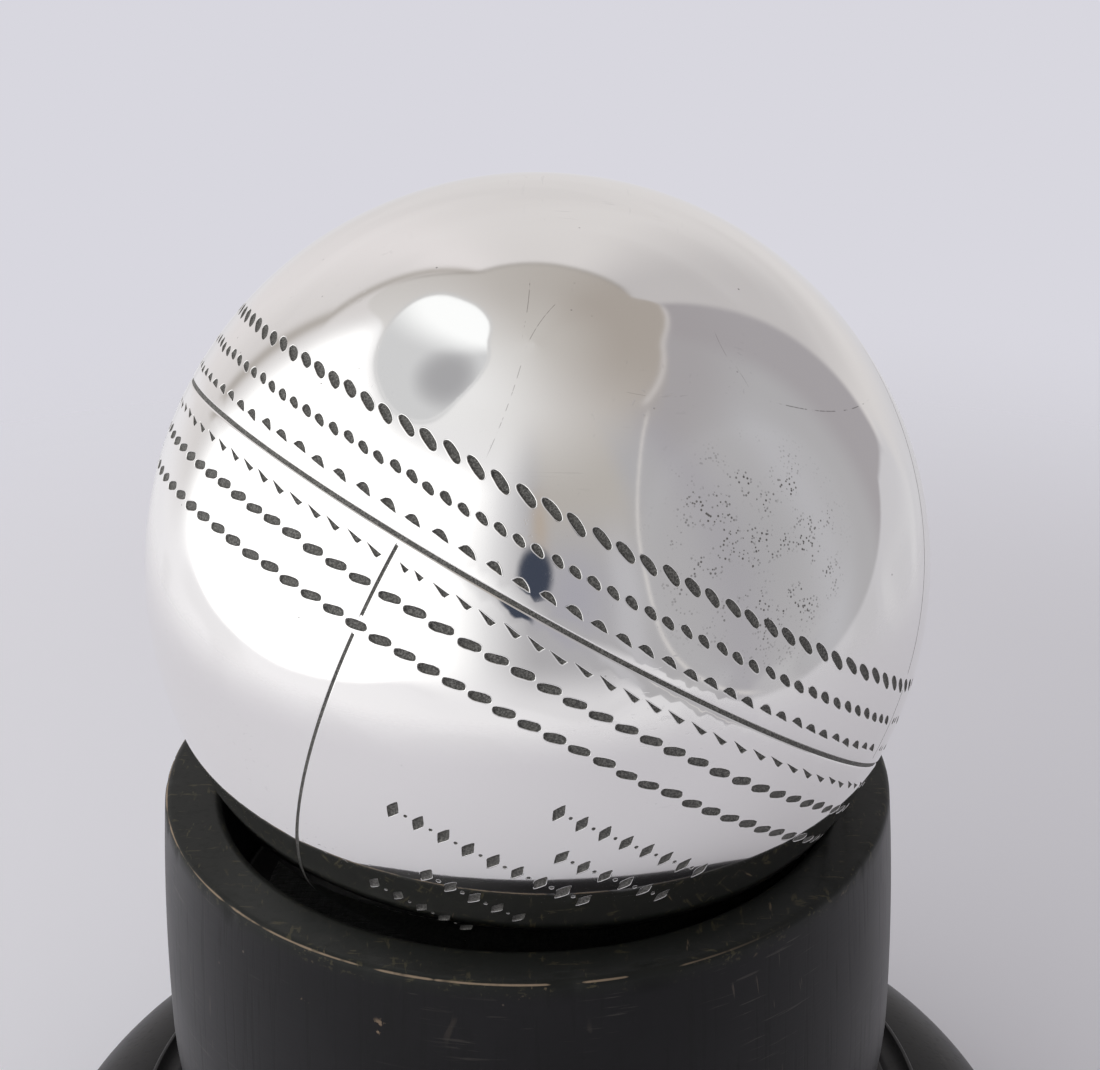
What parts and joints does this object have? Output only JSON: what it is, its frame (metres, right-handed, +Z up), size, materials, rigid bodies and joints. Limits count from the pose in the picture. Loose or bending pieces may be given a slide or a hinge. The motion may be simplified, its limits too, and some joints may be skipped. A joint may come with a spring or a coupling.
{
  "type": "presentation cricket ball on plinth",
  "caption": "Polished hollow silver ball with the six stitch rows and quarter seams of a cricket ball, loose in the recess of a turned black plinth with a moulded foot.",
  "frame": {"origin": "middle of the plinth's underside, on the plinth's axis", "axes": "+Z up; seen along +Y the seam falls from upper left to lower right and the lower quarter seam faces the viewer"},
  "size_m": [0.1044, 0.1044, 0.116],
  "materials": {
    "silver": "mirror polished sterling silver with fine scratches and light pitting, engraved marks darkened by oxide",
    "solder": "oxidised silver solder, dull and dark",
    "ebonised_wood": "ebonised hardwood, satin polish, worn to brown on the rim's edge",
    "felt": "dense black felt",
    "baize": "dark green baize",
    "screw_steel": "plain steel"
  },
  "bodies": {
    "plinth": {"plinth_column": "ebonised_wood", "plinth_foot": "ebonised_wood", "foot_screw": "screw_steel", "baize_pad": "baize"},
    "felt": {"felt_disc": "felt"},
    "ball": {"upper_shell": "silver", "lower_shell": "silver", "joining_band": "silver", "solder_line": "solder", "vent_plug": "silver"}
  },
  "joints": [
    {"name": "ball_turn", "type": "hinge", "parent": "plinth", "child": "felt", "pos_m": [0.0012, 0, 0.0439], "axis": [0, 0, 1], "continuous": true},
    {"name": "ball_lift", "type": "slide", "parent": "felt", "child": "ball", "axis": [0, 0, 1], "range_m": [0, 0.06]}
  ]
}
